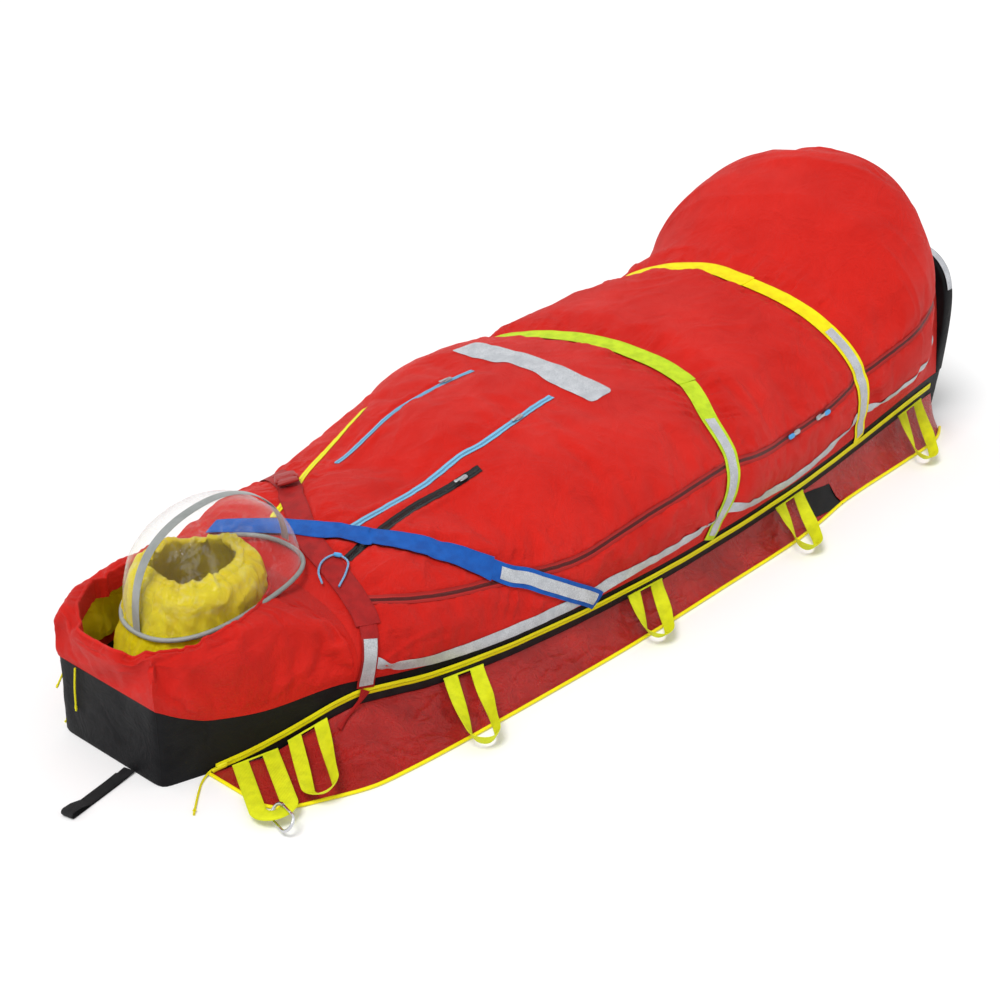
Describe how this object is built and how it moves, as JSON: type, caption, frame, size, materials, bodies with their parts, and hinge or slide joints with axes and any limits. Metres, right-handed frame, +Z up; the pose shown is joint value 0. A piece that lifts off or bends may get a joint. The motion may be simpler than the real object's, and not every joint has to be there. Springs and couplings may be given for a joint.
{
  "type": "casualty bag",
  "caption": "Insulated full-length casualty bag with a stiff tub base, quilted cover, strapped body, clear face window and a fold-out carrying sheet with webbing loops.",
  "frame": {"origin": "on the floor under the middle of the base tub's length and width", "axes": "+X from the head to the foot, +Z up, the opened carrying sheet on the -Y side"},
  "size_m": [2.3678, 0.8715, 0.6],
  "materials": {
    "shell_red": "quilted woven shell, softly crinkled",
    "coated_black": "coated heavy cloth, slightly glossy",
    "liner_yellow": "padded smooth lining",
    "sheet_vinyl": "glossy coated sheet with crinkles",
    "piping_yellow": "folded binding tape over a cord",
    "clear_film": "thin clear flexible film",
    "binding_grey": "woven binding tape",
    "reflective_tape": "glass-bead reflective tape",
    "webbing_blue": "flat woven webbing",
    "webbing_red": "flat woven webbing",
    "webbing_lime": "flat woven webbing",
    "webbing_yellow": "flat woven webbing",
    "webbing_black": "flat woven webbing",
    "hook_tape_black": "hook-and-loop tape",
    "zip_red": "coil zip on woven tape",
    "zip_blue": "coil zip on woven tape",
    "zip_yellow": "coil zip on woven tape",
    "zip_black": "coil zip on woven tape",
    "slider_metal": "painted die-cast slider",
    "slider_yellow": "painted die-cast slider",
    "moulded_red": "moulded side-release buckle",
    "carabiner_alloy": "polished round wire",
    "cord_yellow": "braided round cord",
    "cord_blue": "braided round elastic cord"
  },
  "bodies": {
    "bag": {"base_tub": "coated_black", "foam_mat": "liner_yellow", "cover": "shell_red", "foot_panel": "coated_black", "foot_reflector": "reflective_tape", "head_collar": "shell_red", "hood": "liner_yellow", "shoulder_strap": "webbing_blue", "shoulder_strap_lower": "webbing_blue", "shoulder_strap_reflector": "reflective_tape", "chest_strap": "webbing_red", "chest_strap_lower": "webbing_red", "chest_strap_reflector": "reflective_tape", "hip_strap": "webbing_lime", "hip_strap_lower": "webbing_lime", "hip_strap_reflector": "reflective_tape", "leg_strap": "webbing_yellow", "leg_strap_lower": "webbing_yellow", "leg_strap_reflector": "reflective_tape", "chest_buckle": "moulded_red", "main_zip": "zip_red", "right_chest_zip": "zip_blue", "left_chest_zip": "zip_blue", "shoulder_zip": "zip_yellow", "pocket_zip": "zip_black", "belly_bar": "reflective_tape", "near_reflective_strip": "reflective_tape", "far_reflective_strip": "reflective_tape", "near_side_zip": "zip_yellow", "near_zip_slider": "slider_yellow", "near_zip_pull": "cord_yellow", "far_side_zip": "zip_yellow", "far_zip_pull": "cord_yellow", "sheet_seam_tape": "webbing_black", "rescue_sheet": "sheet_vinyl", "sheet_piping": "piping_yellow", "closing_patch": "hook_tape_black", "stowed_sheet": "sheet_vinyl", "head_drawcord": "cord_yellow", "side_drawcord": "cord_yellow", "neck_cord": "cord_blue"},
    "window": {"face_window": "clear_film", "window_binding": "binding_grey"},
    "loop_1": {"carry_loop_1": "webbing_lime"},
    "loop_2": {"carry_loop_2": "webbing_lime"},
    "loop_3": {"carry_loop_3": "webbing_lime"},
    "loop_4": {"carry_loop_4": "webbing_lime"},
    "loop_5": {"carry_loop_5": "webbing_lime"},
    "loop_6": {"carry_loop_6": "webbing_lime"},
    "carabiner": {"carabiner_body": "carabiner_alloy"},
    "gate": {"carabiner_gate": "carabiner_alloy"},
    "pull_webbing": {"drag_loop": "webbing_black"},
    "main_slider_head": {"main_zip_slider_1": "slider_metal"},
    "main_slider_foot": {"main_zip_slider_2": "slider_metal"},
    "right_slider": {"right_chest_slider": "slider_metal"},
    "left_slider": {"left_chest_slider": "slider_metal"},
    "pocket_zip_slider": {"pocket_slider": "slider_metal"},
    "far_slider": {"far_zip_slider": "slider_yellow"}
  },
  "joints": [
    {"name": "window_lift", "type": "hinge", "parent": "bag", "child": "window", "pos_m": [-0.6872, -0.018, 0.2745], "axis": [0, 1, 0], "range_deg": [0, 55]},
    {"name": "loop_1_lift", "type": "hinge", "parent": "bag", "child": "loop_1", "pos_m": [-0.9335, -0.1936, 0.0095], "axis": [-0.9413, 0.3204, -0.1061], "range_deg": [0, 68]},
    {"name": "loop_2_lift", "type": "hinge", "parent": "bag", "child": "loop_2", "pos_m": [-0.8379, -0.2268, 0.0368], "axis": [-0.9011, 0.3037, -0.3095], "range_deg": [0, 80]},
    {"name": "loop_3_lift", "type": "hinge", "parent": "bag", "child": "loop_3", "pos_m": [-0.5334, -0.3179, 0.0585], "axis": [-0.9801, 0.1987, 0], "range_deg": [0, 80]},
    {"name": "loop_4_lift", "type": "hinge", "parent": "bag", "child": "loop_4", "pos_m": [-0.0661, -0.3604, 0.0585], "axis": [-0.9997, 0.0231, -0.0013], "range_deg": [0, 80]},
    {"name": "loop_5_lift", "type": "hinge", "parent": "bag", "child": "loop_5", "pos_m": [0.425, -0.3442, 0.0618], "axis": [-0.9972, -0.074, -0.0133], "range_deg": [0, 80]},
    {"name": "loop_6_lift", "type": "hinge", "parent": "bag", "child": "loop_6", "pos_m": [0.9511, -0.2895, 0.0773], "axis": [-0.9937, -0.1051, -0.0398], "range_deg": [0, 80]},
    {"name": "carabiner_roll", "type": "hinge", "parent": "loop_1", "child": "carabiner", "pos_m": [-1.0323, -0.3757, 0.0223], "axis": [-0.2844, -0.9568, 0.0612], "range_deg": [-8, 14]},
    {"name": "gate_opening", "type": "hinge", "parent": "carabiner", "child": "gate", "pos_m": [-1.0185, -0.3653, 0.0337], "axis": [0.7225, -0.2559, -0.6423], "range_deg": [0, 20], "stiffness_Nm_per_rad": 0.02, "springref_deg": -17.19},
    {"name": "pull_webbing_lift", "type": "hinge", "parent": "bag", "child": "pull_webbing", "pos_m": [-1.1032, -0.054, 0.0051], "axis": [-0.2079, 0.9781, 0], "range_deg": [0, 75]},
    {"name": "main_slider_head_slide", "type": "slide", "parent": "bag", "child": "main_slider_head", "axis": [-0.9935, -0.1138, 0.0034], "range_m": [0, 0.065]},
    {"name": "main_slider_foot_slide", "type": "slide", "parent": "bag", "child": "main_slider_foot", "axis": [0.9879, 0.0624, 0.1421], "range_m": [0, 0.08]},
    {"name": "right_slider_slide", "type": "slide", "parent": "bag", "child": "right_slider", "axis": [-0.9839, 0.0825, -0.1583], "range_m": [0, 0.14]},
    {"name": "left_slider_slide", "type": "slide", "parent": "bag", "child": "left_slider", "axis": [-0.9784, 0.1078, -0.1764], "range_m": [0, 0.11]},
    {"name": "pocket_slider_slide", "type": "slide", "parent": "bag", "child": "pocket_zip_slider", "axis": [-0.9753, 0.1119, -0.1905], "range_m": [0, 0.06]},
    {"name": "far_slider_slide", "type": "slide", "parent": "bag", "child": "far_slider", "axis": [0.9277, 0.3313, 0.1723], "range_m": [0, 0.035]}
  ]
}
